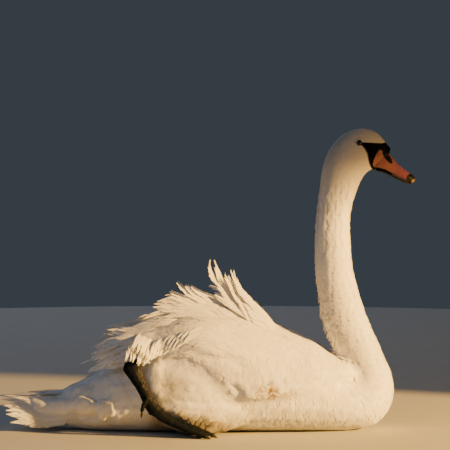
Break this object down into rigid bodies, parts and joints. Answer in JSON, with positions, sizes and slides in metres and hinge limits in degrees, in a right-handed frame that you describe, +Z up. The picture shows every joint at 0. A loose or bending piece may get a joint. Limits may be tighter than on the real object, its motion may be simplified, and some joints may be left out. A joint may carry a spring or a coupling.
{
  "type": "mute swan figure",
  "caption": "Life-size mute swan lying at rest on its belly, neck raised in an S, wing plumes ruffled, one leg trailing along each flank.",
  "frame": {"origin": "centre of the footprint of the whole bird, on the floor it lies on", "axes": "+X the way the swan faces, +Y to its left, +Z up"},
  "size_m": [0.8777, 0.344, 0.6345],
  "materials": {
    "white_feather": "soft matt white plumage, creamy",
    "head_feather": "short velvety white plumage stained buff",
    "orange_horn": "smooth orange-red horn, satin",
    "black_horn": "smooth black horn, satin",
    "dark_eye": "wet dark brown eye, glossy",
    "grey_leg": "scaled grey-black skin, matt"
  },
  "bodies": {
    "root": {"bill_knob": "black_horn", "bill_lower": "black_horn", "bill_nail": "black_horn", "bill_upper": "orange_horn", "claw_hind_left": "black_horn", "claw_hind_right": "black_horn", "claw_inner_left": "black_horn", "claw_inner_right": "black_horn", "claw_middle_left": "black_horn", "claw_middle_right": "black_horn", "claw_outer_left": "black_horn", "claw_outer_right": "black_horn", "eye_left": "dark_eye", "eye_right": "dark_eye", "flight_feathers_left": "white_feather", "flight_feathers_right": "white_feather", "foot_left": "grey_leg", "foot_right": "grey_leg", "head": "head_feather", "neck_lower": "white_feather", "neck_middle": "white_feather", "neck_upper": "head_feather", "plume_front_left": "white_feather", "plume_front_right": "white_feather", "plume_rear_left": "white_feather", "plume_rear_right": "white_feather", "shank_left": "grey_leg", "shank_right": "grey_leg", "tail_coverts": "white_feather", "tail_feathers": "white_feather", "thigh_left": "white_feather", "thigh_right": "white_feather", "trunk": "white_feather", "wing_left": "white_feather", "wing_right": "white_feather"}
  },
  "joints": []
}
